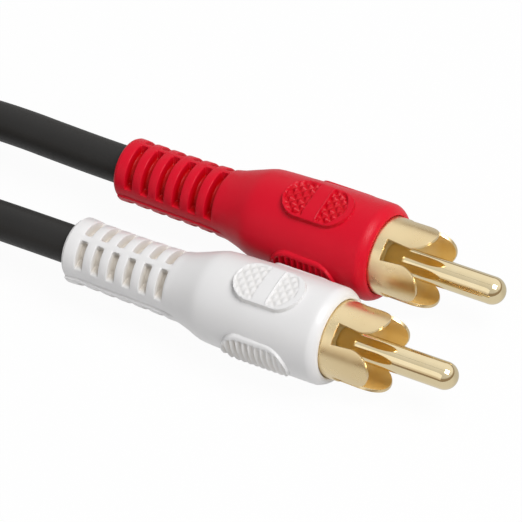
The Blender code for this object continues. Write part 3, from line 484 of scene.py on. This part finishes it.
def shapeMoulding(shape, relief):
    # Moves the lathe's outer points to the parting line, slots and pads. Gives each point's painted shade, deeper where
    # it is sunk and on the thumb pads' walls
    places = np.array([v.co[:] for v in shape.verts])
    x = places[:, 0]
    radius = np.hypot(places[:, 1], places[:, 2])
    phi = np.degrees(np.arctan2(places[:, 2], -places[:, 1]))
    # The boot's end, the chamfer and the cavity stay as turned
    outer = (x < -16.15) & (x > -49.52) & (np.abs(radius - outsideRadius(x)) < 1e-3)
    made = radius.copy()
    boot = 1 - ramp(x, *moulding["bootFade"])
    for seam, side in ((relief["seam"], -1), (180 - relief["seam"], 1)):
        past = angleFrom(phi, seam) * side
        made += relief["lip"] * boot * ramp(past, 0, moulding["lipRise"]) * (1 - ramp(past, *moulding["lipFade"]))
        groove = 1 - np.abs(past + moulding["groovePlace"]) / moulding["grooveHalf"]
        made -= relief["groove"] * boot * np.clip(groove, 0, 1)
    made += relief["flare"] * (1 - ramp(x, *moulding["flareSpan"]))
    uncut = made
    made = cutSlots(x, phi, made, relief)
    # Painted shade, deeper as a slot is cut deeper
    paintedShade = np.clip((uncut - made) / moulding["fullShadeDepth"], 0, 1)
    for centre in (90, -90):
        top, sunk = thumbTops(x, phi, centre, relief)
        body = made
        made = raisePad(x, phi, body, centre, moulding["thumbHalfWidth"], top, moulding["thumbFoot"])
        near = np.abs(angleFrom(phi, centre)) < moulding["thumbDegrees"]
        up = np.clip((made - body) / np.maximum(top / np.cos(np.radians(angleFrom(phi, centre))) - body, 0.1), 0, 1)
        # Painted shade in the knurling and on the thumb pad's wall
        paintedShade = np.maximum(paintedShade, np.where(near, np.maximum(0.5 * sunk, 3 * up * (1 - up)) * relief["knurlShare"], 0))
    for centre in (moulding["sideMiddle"], 180 - moulding["sideMiddle"]):
        top, sunk = sideTops(x, phi, centre)
        made = raisePad(x, phi, made, centre, moulding["sideHalfWidth"], top, moulding["sideFoot"])
        near = (np.abs(angleFrom(phi, centre)) < moulding["sideDegrees"]) & (made > uncut + 0.05)
        # Painted shade in the side pad's ridge valleys
        paintedShade = np.maximum(paintedShade, np.where(near, 0.7 * sunk, 0))
    scale = np.where(outer, made / np.maximum(radius, 1e-6), 1.0)
    bend = moulding["bend"] * ramp(-x, *moulding["bendSpan"]) * (1 - 0.5 * ramp(-x, *moulding["bendBack"]))
    for i, point in enumerate(shape.verts):
        if scale[i] != 1.0:
            point.co.y *= scale[i]
            point.co.z *= scale[i]
        if x[i] < moulding["endRing"] and radius[i] > moulding["endBore"]:
            point.co.x -= relief["longer"]
        point.co.y -= bend[i]
    return np.where(outer, np.clip(paintedShade, 0, 1), 0)


def makeMoulding(colour, material, relief):
    rear, nose = moulding["rear"], moulding["nose"]
    profile = [(rear + 0.6, 0), (rear + 0.6, 2.34), (rear + 0.12, 2.36), (rear, 2.5), (rear, 2.9)]
    profile += rounding(rear + 0.45, 3.17, 0.45, 180, 90, 5)
    profile += [(x, float(outsideRadius(x))) for x in mouldingLines()]
    profile += list(moulding["chamfer"])
    profile += [(nose - 0.1, 4.6), (nose - 4.4, 4.6), (nose - 4.4, 0)]
    shape = latheMesh(profile, moulding["steps"])
    paintedShade = shapeMoulding(shape, relief)
    data = finishMesh(colour + "Moulding", shape, plugTip[colour], 40)
    # The painted shade goes to the material as an attribute
    data.attributes.new("paintedShade", "FLOAT", "POINT").data.foreach_set("value", paintedShade.astype(np.float32))
    return addPiece(colour + "Moulding", data, material, colour + "_moulding", colour + "_plug_moulding")


# Phono plug contacts
shell = {
    "radius": 4.55,
    "wall": 0.35,
    "rear": -17.7,
    "root": -13.8,
    "petalMiddle": -11.28,                  # where the round end of a petal starts
    "petalRound": 2.48,
    "petalHalfAtRoot": 2.26,
    "firstSlot": 63.6,                      # degrees, the middle of the slot that faces the camera
    "columns": 28,
    "slotColumns": 12,
    "ringRows": 10,
    "petalRows": 26,
    "rowEase": 0.35,                        # rows stand closer together towards a petal's end
    "longestEdge": 3,                       # a longer one spans two petals
}


def makeShell(colour):
    # One unrolled sheet: a ring, and four tongues with round ends that stand on it
    ringRows, petalRows = shell["ringRows"], shell["petalRows"]
    wide = shell["columns"] + shell["slotColumns"]
    columns, rows = 4 * wide, ringRows + petalRows
    shape = bmesh.new()
    bmesh.ops.create_grid(shape, x_segments=columns, y_segments=rows, size=1)
    quarter = math.pi / 2 * shell["radius"]
    halfRoot = shell["petalHalfAtRoot"]
    gaps = []
    for point in shape.verts:
        column = round((point.co.x + 1) / 2 * columns)
        row = round((point.co.y + 1) / 2 * rows)
        sector, inSector = divmod(column, wide)
        onPetal = inSector <= shell["columns"]
        if onPetal:
            v = 2 * inSector / shell["columns"] - 1
            along = v * halfRoot
        else:
            share = (inSector - shell["columns"]) / shell["slotColumns"]
            along = halfRoot + share * (quarter - 2 * halfRoot)
        x = shell["rear"] + (shell["root"] - shell["rear"]) * min(row / ringRows, 1)
        if row > ringRows and onPetal:
            t = (row - ringRows) / petalRows
            t = t * (1 + shell["rowEase"] - shell["rowEase"] * t)
            turn = v * math.pi / 2
            endAlong = shell["petalRound"] * math.sin(turn)
            endX = shell["petalMiddle"] + shell["petalRound"] * math.cos(turn)
            along += (endAlong - along) * t
            x += (endX - x) * t
        elif row > ringRows:
            gaps.append(point)
        phi = math.radians(shell["firstSlot"] + 45 + 90 * sector) + along / shell["radius"]
        point.co = (x, -shell["radius"] * math.cos(phi), shell["radius"] * math.sin(phi))
    bmesh.ops.delete(shape, geom=gaps, context="VERTS")
    spanning = [f for f in shape.faces if max(v.co.x for v in f.verts) > shell["root"] + 1e-4
                and max(e.calc_length() for e in f.edges) > shell["longestEdge"]]
    bmesh.ops.delete(shape, geom=spanning, context="FACES")
    bmesh.ops.remove_doubles(shape, verts=shape.verts, dist=1e-4)
    bmesh.ops.recalc_face_normals(shape, faces=shape.faces)
    outward = sum(f.normal.dot(Vector((0, *f.calc_center_median()[1:]))) for f in shape.faces)
    if outward < 0:
        bmesh.ops.reverse_faces(shape, faces=shape.faces)
    data = finishMesh(colour + "Shell", shape, plugTip[colour], 180)
    made = addPiece(colour + "Shell", data, shellGold, "gold_plate", colour + "_plug_shell")
    data.materials.append(innerGold)
    wall = made.modifiers.new("wall", "SOLIDIFY")
    wall.material_offset = 1
    wall.material_offset_rim = 0
    wall.thickness = shell["wall"] * mm
    wall.offset = -1
    wall.use_even_offset = True
    edge = made.modifiers.new("stamped edge", "BEVEL")
    edge.width = 0.07 * mm
    edge.segments = 3
    edge.limit_method = "ANGLE"
    edge.angle_limit = math.radians(50)
    return made


contacts = {"pinRadius": 1.6, "pinRear": -20.6, "insulator": -16.2, "insulatorThick": 0.9, "insulatorRadius": 3.9}


def makePin(colour):
    radius, rear = contacts["pinRadius"], contacts["pinRear"]
    profile = [(rear, 0), (rear, 0.65), (-16.3, 0.95), (-16.2, radius - 0.05), (-16.1, radius)]
    profile += [(x, radius) for x in (-14.0, -11.0, -8.0, -5.0, -2.4)]
    profile += rounding(-radius, 0, radius, 90, 2, 22) + [(0, 0)]
    shape = latheMesh(profile, 96)
    data = finishMesh(colour + "Pin", shape, plugTip[colour], 60)
    return addPiece(colour + "Pin", data, pinGold, "gold_plate", colour + "_plug_pin")


def makeInsulator(colour):
    front, radius = contacts["insulator"], contacts["insulatorRadius"]
    back = front - contacts["insulatorThick"]
    profile = [(back, 0.98), (back, radius), (front - 0.12, radius), (front, radius - 0.12), (front, 3.1)]
    profile += [(front - 0.25, 2.9), (front - 0.25, 2.3), (front + 0.05, 2.15), (front + 0.05, 1.75)]
    profile += [(front - 0.1, 1.66), (front - 0.3, 0.98), (back, 0.98)]
    shape = latheMesh(profile, 72)
    data = finishMesh(colour + "Insulator", shape, plugTip[colour], 35)
    return addPiece(colour + "Insulator", data, polythene, "pale_plastic", colour + "_insulator")


# Cords
cords = {
    "redLeg": {"node": "red_leg", "diameter": 4.6, "exit": (-25.45, 6.2, 6.0), "length": 95.7, "points": (
        (-0.45, 6.20, 6.00), (-5.49, 6.20, 6.00), (-10.53, 6.20, 6.00), (-15.56, 6.20, 6.00),
        (-20.60, 6.20, 6.00), (-25.64, 6.20, 6.00), (-30.68, 6.23, 6.03), (-35.72, 6.32, 6.10),
        (-40.75, 6.43, 6.14), (-45.79, 6.42, 5.98), (-50.82, 6.24, 5.60), (-55.84, 5.97, 5.12),
        (-60.86, 5.62, 4.76), (-65.86, 5.02, 4.53), (-70.84, 4.30, 4.35), (-75.84, 3.68, 4.23),
        (-80.85, 3.15, 4.20), (-85.87, 2.84, 4.20), (-90.91, 2.78, 4.20), (-95.95, 2.80, 4.20))},
    "whiteLeg": {"node": "white_leg", "diameter": 4.6, "exit": (-24.55, -6.2, 6.0), "length": 96.6, "points": (
        (0.45, -6.20, 6.00), (-4.64, -6.20, 6.00), (-9.72, -6.20, 6.00), (-14.81, -6.20, 6.00),
        (-19.89, -6.20, 6.00), (-24.98, -6.20, 6.00), (-30.06, -6.20, 6.00), (-35.15, -6.20, 5.96),
        (-40.23, -6.20, 5.84), (-45.31, -6.17, 5.65), (-50.39, -6.07, 5.38), (-55.46, -5.93, 5.05),
        (-60.53, -5.61, 4.75), (-65.57, -5.02, 4.53), (-70.60, -4.30, 4.35), (-75.65, -3.68, 4.23),
        (-80.71, -3.15, 4.20), (-85.78, -2.85, 4.20), (-90.86, -2.78, 4.20), (-95.95, -2.80, 4.20))},
    "trunkCable": {"node": "trunk", "diameter": 5.2, "exit": (-111.95, 0.0, 4.2), "length": 54.1, "points": (
        (-103.95, 0.00, 4.20), (-107.56, -0.02, 4.23), (-111.16, -0.02, 4.22), (-114.76, 0.14, 4.03),
        (-118.35, 0.37, 3.77), (-121.95, 0.51, 3.62), (-125.55, 0.62, 3.51), (-129.16, 0.69, 3.47),
        (-132.76, 0.69, 3.58), (-136.36, 0.62, 3.83), (-139.95, 0.51, 4.14), (-143.54, 0.37, 4.39),
        (-147.14, 0.14, 4.54), (-150.74, -0.02, 4.61), (-154.34, -0.02, 4.62), (-157.95, 0.00, 4.60))},
}


def makeCord(name):
    cord = cords[name]
    data = bpy.data.curves.new(name, "CURVE")
    data.dimensions = "3D"
    data.bevel_depth = cord["diameter"] / 2 * mm
    data.bevel_resolution = 12
    data.resolution_u = 6
    data.use_fill_caps = True
    spline = data.splines.new("BEZIER")
    spline.bezier_points.add(len(cord["points"]) - 1)
    for point, place in zip(spline.bezier_points, cord["points"]):
        point.co = Vector(place) * mm
        point.handle_left_type = "AUTO"
        point.handle_right_type = "AUTO"
    return addPiece(name, data, jacketPvc, "black_jacket", cord["node"])


# Junction and stereo plug
junction = {
    "middle": (0, 4.2),                     # its axis in y and z, millimetres
    "front": -87.95,
    "length": 24,
    # Distance behind the front, half width, half height, squareness
    "sections": ((0.0, 5.3, 2.9, 2.6), (0.0, 5.75, 3.3, 2.6), (-0.12, 6.1, 3.62, 2.6), (-0.4, 6.42, 3.92, 2.6),
                 (-0.8, 6.62, 4.12, 2.6), (-1.3, 6.7, 4.2, 2.6), (-4.0, 6.7, 4.2, 2.6), (-8.0, 6.68, 4.2, 2.6),
                 (-10.5, 6.42, 4.2, 2.5), (-13.2, 5.86, 4.2, 2.4), (-16.0, 5.12, 4.2, 2.3), (-18.4, 4.6, 4.2, 2.15),
                 (-20.0, 4.38, 4.14, 2.05), (-20.7, 4.3, 4.1, 2.0), (-20.85, 3.75, 3.75, 2.0),
                 (-21.55, 3.75, 3.75, 2.0), (-21.7, 4.2, 4.1, 2.0), (-22.7, 4.2, 4.1, 2.0), (-23.4, 4.05, 4.0, 2.0),
                 (-23.85, 3.75, 3.75, 2.0), (-24.0, 3.3, 3.3, 2.0), (-24.0, 2.64, 2.64, 2.0),
                 (-23.4, 2.61, 2.61, 2.0)),
    "steps": 128,
}


def makeJunction():
    # A lathe of unit radius, then each ring is drawn out to its own rounded section
    rings = junction["sections"]
    profile = [(0.02, 0)] + [(i + 1, 1.0) for i in range(len(rings))] + [(len(rings) + 0.5, 0)]
    shape = latheMesh(profile, junction["steps"])
    for point in shape.verts:
        ring = round(point.co.x) - 1
        off = math.hypot(point.co.y, point.co.z)
        if off < 0.5:
            back = rings[0][0] if point.co.x < 1 else rings[-1][0]
            point.co = (back, 0, 0)
            continue
        back, wide, high, square = rings[ring]
        c, s = point.co.y / off, point.co.z / off
        point.co = (back, math.copysign(abs(c) ** (2 / square), c) * wide,
                    math.copysign(abs(s) ** (2 / square), s) * high)
    bmesh.ops.recalc_face_normals(shape, faces=shape.faces)
    place = Vector((junction["front"], junction["middle"][0], junction["middle"][1])) * mm
    data = finishMesh("junctionMoulding", shape, place, 40)
    return addPiece("junctionMoulding", data, blackPvc, "black_moulding", "junction_moulding")


stereo = {
    "place": (-181.95, 0, 4.6),
    "grips": (-2.6, -3.9, -5.2, -6.5, -7.8, -9.1, -10.4),
    "gripHalf": 0.45,                       # half the width of a grip's groove
    "gripDepth": 0.28,
    "gripDegrees": 48,                      # how far the grips reach from the top and the bottom
    "gripFade": 6,                          # degrees over which they fade out
    "slots": (-29.8, -27.6, -25.4, -23.2),
    "slotHalf": 0.5,
    "slotDegrees": 75,                      # and how far the slots do
    "slotFloor": 3.15,
    "slotWall": ((-0.13, 0), (-0.07, 0.04), (-0.02, 0.14), (0.02, 0.9), (0.07, 0.98), (0.2, 1)),
    "slotEnd": ((-0.1, 0), (0, 0.12), (0.16, 0.9), (0.3, 1)),
    "outside": ((-32.0, 3.62), (-20.4, 3.74), (-19.6, 3.84), (-17.6, 4.46), (-16.8, 4.58), (-15.6, 4.6),
                (-1.3, 4.6)),
    "steps": 160,
}


def makeStereoMoulding():
    lines = list(np.arange(-31.4, -1.1, 0.55))
    for centre in stereo["slots"]:
        lines = [x for x in lines if abs(x - centre) > 0.66]
        lines += [centre + side * out for side in (-1, 1) for out in (0.63, 0.57, 0.52, 0.48, 0.43, 0.3)] + [centre]
    for centre in stereo["grips"]:
        lines = [x for x in lines if abs(x - centre) > 0.5]
        lines += [centre + out for out in (-0.45, -0.34, -0.22, -0.1, 0, 0.1, 0.22, 0.34, 0.45)]
    lines = sorted(lines)
    xs, radii = zip(*stereo["outside"])
    wallXs, wallDepths = zip(*stereo["slotWall"])
    endXs, endDepths = zip(*stereo["slotEnd"])
    profile = [(-31.4, 0), (-31.4, 2.64), (-31.9, 2.68), (-32, 2.8), (-32, 3.2)]
    profile += rounding(-31.6, 3.22, 0.4, 180, 92, 4)
    profile += [(x, float(np.interp(x, xs, radii))) for x in lines]
    profile += rounding(-1.3, 3.6, 1.0, 90, 0, 7) + [(-0.3, 3.4), (-0.3, 2.4), (-3.0, 2.3), (-3.0, 0)]
    shape = latheMesh(profile, stereo["steps"])
    for point in shape.verts:
        x = point.co.x
        radius = math.hypot(point.co.y, point.co.z)
        if radius < 3.5 or x > -1.2 or x < -31.45:
            continue
        phi = math.degrees(math.atan2(point.co.z, -point.co.y))
        new = radius
        for centre in stereo["slots"]:
            wall = float(np.interp(stereo["slotHalf"] - abs(x - centre), wallXs, wallDepths))
            toEnd = (stereo["slotDegrees"] - abs(abs(phi) - 90)) * math.pi / 180 * 3.5
            new -= wall * float(np.interp(toEnd, endXs, endDepths)) * (new - stereo["slotFloor"])
        for centre in stereo["grips"]:
            dip = max(0.0, 1 - (abs(x - centre) / stereo["gripHalf"]) ** 2) ** 1.5
            face = max(0.0, min(1.0, (stereo["gripDegrees"] - abs(abs(phi) - 90)) / stereo["gripFade"]))
            new -= stereo["gripDepth"] * dip * face
        point.co.y *= new / radius
        point.co.z *= new / radius
    data = finishMesh("stereoMoulding", shape, Vector(stereo["place"]) * mm, 45, True)
    return addPiece("stereoMoulding", data, blackPvc, "black_moulding", "stereo_plug_moulding")


def makeStereoContacts():
    # Turned contacts of the stereo plug: tip, ring and sleeve, with moulded bands between them
    place = Vector(stereo["place"]) * mm
    tip = [(14.0, 0), (13.96, 0.3), (13.84, 0.52), (13.4, 0.86), (12.9, 1.2), (12.6, 1.5), (12.4, 1.66),
           (12.15, 1.74), (11.8, 1.75), (11.45, 1.68), (11.1, 1.44), (10.9, 1.33), (10.6, 1.31), (10.4, 1.38),
           (10.2, 1.62), (10.1, 1.72), (10.02, 1.75), (10.0, 1.7), (10.0, 0.42), (-7.4, 0.42), (-7.4, 0)]
    ring = [(9.21, 0.72), (9.21, 1.68), (9.14, 1.75), (7.08, 1.75), (7.01, 1.68), (7.01, 0.9), (-5.8, 0.9),
            (-5.8, 0.72), (9.21, 0.72)]
    sleeve = [(6.22, 1.03), (6.22, 1.68), (6.15, 1.75), (1.32, 1.75), (1.2, 1.87), (1.2, 3.1), (1.05, 3.27),
              (0.9, 3.3), (0.3, 3.3), (0.15, 3.27), (0.0, 3.1), (0.0, 2.15), (-4.0, 2.15), (-4.0, 1.03),
              (6.22, 1.03)]
    bandOne = [(9.88, 0.74), (9.88, 1.73), (9.33, 1.73), (9.33, 0.74), (9.88, 0.74)]
    bandTwo = [(6.89, 1.03), (6.89, 1.73), (6.34, 1.73), (6.34, 1.03), (6.89, 1.03)]
    rows = (("stereoTip", tip, pinGold, "gold_plate", "stereo_plug_tip"),
            ("stereoRing", ring, pinGold, "gold_plate", "stereo_plug_ring"),
            ("stereoSleeve", sleeve, pinGold, "gold_plate", "stereo_plug_sleeve"),
            ("stereoFrontBand", bandOne, insulatorNylon, "black_insulator", "stereo_front_insulator"),
            ("stereoRearBand", bandTwo, insulatorNylon, "black_insulator", "stereo_rear_insulator"))
    made = []
    for name, profile, material, slot, node in rows:
        shape = latheMesh(profile, 72)
        made.append(addPiece(name, finishMesh(name, shape, place, 40, True), material, slot, node))
    return made


# Stage
stage = {
    "floorSize": 3.0,
    "floorColour": "E6E6E6",
    "shownWhite": 0.96,                     # how far the floor is plain white for the lens
    "nearFloor": 0.8,                       # how bright a reflection of the floor is before the plugs
    "farFloor": 0.66,                       # and beyond them
    "roomColour": (0.34, 0.27, 0.2, 1.0),   # the room that shows in reflections under the tent
    "tentFront": 0.7,                       # how bright the tent is on the camera's side
    "tentBack": 1.05,                       # and behind the plugs
    "seamTone": 0.15,                       # the tent's seam, a dark line along a pin
    "farSpan": (-0.45, 0.1),                # over which slant along Y a reflection goes from far to near floor
    "roomSpan": (0.2, 0.42),                # over which height the room gives way to the tent
    "roomLean": 0.15,                       # how much lower its edge is behind the plugs
    "tentSpan": (-0.55, 0.6),               # over which slant along Y the tent goes from front to back
    "seamPlace": 0.08,                      # where it runs along Y, its half width and where it has faded
    "seamSpan": (0.005, 0.014),
    "skyLevel": 0.31,                       # how bright the light from all round is
    "keyPower": 7.1,
    "keyPlace": (0.46, 0.1, 0.74),
    "keySize": 0.46,
    "fillPower": 0.5,
    "fillPlace": (-0.2, -0.6, 0.45),
    "fillSize": 0.6,
}


def makeFloor():
    # White paper: the lens sees it almost plain white with a faint shadow, and reflections see it darken
    # towards the room behind the plugs
    shape = bmesh.new()
    bmesh.ops.create_grid(shape, x_segments=1, y_segments=1, size=stage["floorSize"])
    data = bpy.data.meshes.new("floor")
    shape.to_mesh(data)
    shape.free()
    material = bpy.data.materials.new("white paper sweep")
    material.use_nodes = True
    tree = material.node_tree
    out = tree.nodes["Material Output"]
    tree.nodes.remove(tree.nodes["Principled BSDF"])
    path = addNode(tree, "ShaderNodeLightPath")
    seen = addNode(tree, "ShaderNodeMath", {0: path.outputs["Is Camera Ray"], 1: path.outputs["Is Transmission Ray"]},
                   operation="MAXIMUM")
    share = addNode(tree, "ShaderNodeMath", {0: seen.outputs[0], 1: stage["shownWhite"]}, operation="MULTIPLY")
    share = addNode(tree, "ShaderNodeMath", {0: share.outputs[0], 1: path.outputs["Is Glossy Ray"]},
                    operation="MAXIMUM")
    geometry = addNode(tree, "ShaderNodeNewGeometry")
    parts = addNode(tree, "ShaderNodeSeparateXYZ", {"Vector": geometry.outputs["Incoming"]})
    start, end = stage["farSpan"]
    fade = addNode(tree, "ShaderNodeMapRange", {"Value": parts.outputs["Y"], "From Min": start, "From Max": end,
                                                "To Min": stage["farFloor"], "To Max": stage["nearFloor"]})
    bright = addNode(tree, "ShaderNodeMix", {0: path.outputs["Is Glossy Ray"], 2: 1.0, 3: fade.outputs["Result"]})
    paper = addNode(tree, "ShaderNodeBsdfDiffuse", {"Color": linear(stage["floorColour"])})
    glow = addNode(tree, "ShaderNodeEmission", {"Color": (1, 1, 1, 1), "Strength": bright.outputs[0]})
    mixed = addNode(tree, "ShaderNodeMixShader", {0: share.outputs[0], 1: paper.outputs[0], 2: glow.outputs[0]})
    tree.links.new(mixed.outputs[0], out.inputs["Surface"])
    data.materials.append(material)
    made = bpy.data.objects.new("floor", data)
    bpy.context.scene.collection.objects.link(made)


def makeWorld():
    # An even sky for light. In reflections it is a white tent with a dim room round its foot, and a seam overhead
    world = bpy.data.worlds.new("studio")
    bpy.context.scene.world = world
    world.use_nodes = True
    tree = world.node_tree
    out = tree.nodes["World Output"]
    plain = tree.nodes["Background"]
    plain.inputs["Color"].default_value = (1, 1, 1, 1)
    plain.inputs["Strength"].default_value = stage["skyLevel"]
    path = addNode(tree, "ShaderNodeLightPath")
    parts = addNode(tree, "ShaderNodeSeparateXYZ", {"Vector": addNode(tree, "ShaderNodeTexCoord").outputs["Generated"]})
    slope = addNode(tree, "ShaderNodeMath", {0: parts.outputs["Y"], 1: stage["roomLean"], 2: parts.outputs["Z"]},
                    operation="MULTIPLY_ADD")
    start, end = stage["roomSpan"]
    lift = addNode(tree, "ShaderNodeMapRange", {"Value": slope.outputs[0], "From Min": start, "From Max": end},
                   interpolation_type="SMOOTHSTEP")
    start, end = stage["tentSpan"]
    behind = addNode(tree, "ShaderNodeMapRange", {"Value": parts.outputs["Y"], "From Min": start, "From Max": end,
                                                  "To Min": stage["tentFront"], "To Max": stage["tentBack"]})
    offSeam = addNode(tree, "ShaderNodeMath", {0: parts.outputs["Y"], 1: -stage["seamPlace"]}, operation="ADD")
    offSeam = addNode(tree, "ShaderNodeMath", {0: offSeam.outputs[0]}, operation="ABSOLUTE")
    start, end = stage["seamSpan"]
    seam = addNode(tree, "ShaderNodeMapRange", {"Value": offSeam.outputs[0], "From Min": start, "From Max": end,
                                                "To Min": stage["seamTone"], "To Max": 1.0})
    bright = addNode(tree, "ShaderNodeMath", {0: behind.outputs["Result"], 1: seam.outputs["Result"]},
                     operation="MULTIPLY")
    tent = addNode(tree, "ShaderNodeCombineColor", {0: bright.outputs[0], 1: bright.outputs[0], 2: bright.outputs[0]})
    shown = addNode(tree, "ShaderNodeMix", {"Factor": lift.outputs["Result"], 6: stage["roomColour"],
                                            7: tent.outputs["Color"]}, data_type="RGBA")
    mirrored = addNode(tree, "ShaderNodeBackground", {"Color": shown.outputs[2], "Strength": 1.0})
    white = addNode(tree, "ShaderNodeBackground", {"Color": (1, 1, 1, 1), "Strength": 1.0})
    seen = addNode(tree, "ShaderNodeMath", {0: path.outputs["Is Camera Ray"], 1: path.outputs["Is Transmission Ray"]},
                   operation="MAXIMUM")
    lit = addNode(tree, "ShaderNodeMixShader", {0: path.outputs["Is Glossy Ray"], 1: plain.outputs[0],
                                                2: mirrored.outputs[0]})
    mixed = addNode(tree, "ShaderNodeMixShader", {0: seen.outputs[0], 1: lit.outputs[0], 2: white.outputs[0]})
    tree.links.new(mixed.outputs[0], out.inputs["Surface"])


def makeLamp(name, place, size, power, target=(0.0, 0.0, 0.005)):
    data = bpy.data.lights.new(name, "AREA")
    data.shape = "SQUARE"
    data.size = size
    data.energy = power
    made = bpy.data.objects.new(name, data)
    made.location = place
    made.rotation_euler = (Vector(place) - Vector(target)).to_track_quat("Z", "Y").to_euler()
    bpy.context.scene.collection.objects.link(made)


# Putting it together
setCamera()
pieces = {name: makeCord(name) for name in cords}
print("cords laid")
makeMoulding("red", redPvc, redRelief)
makeMoulding("white", whitePvc, whiteRelief)
print("phono mouldings made")
for colour in ("red", "white"):
    makeShell(colour)
    makePin(colour)
    makeInsulator(colour)
print("phono contacts made")
junctionPiece = makeJunction()
stereoPieces = [makeStereoMoulding()] + makeStereoContacts()
print("junction and stereo plug made")

inside = {
    "inner_mould": polythene, "core_insulation": polythene, "core_conductor": copperWire,
    "shield_pigtail": copperWire, "splice": solderTin, "wire": copperWire,
}
for name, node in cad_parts.items():
    for ending, material in inside.items():
        if name.endswith(ending):
            node.data.materials.clear()
            node.data.materials.append(material)

makeFloor()
makeWorld()
makeLamp("key", stage["keyPlace"], stage["keySize"], stage["keyPower"])
makeLamp("fill", stage["fillPlace"], stage["fillSize"], stage["fillPower"])
bpy.context.scene.view_settings.view_transform = "Standard"
print("stage set")
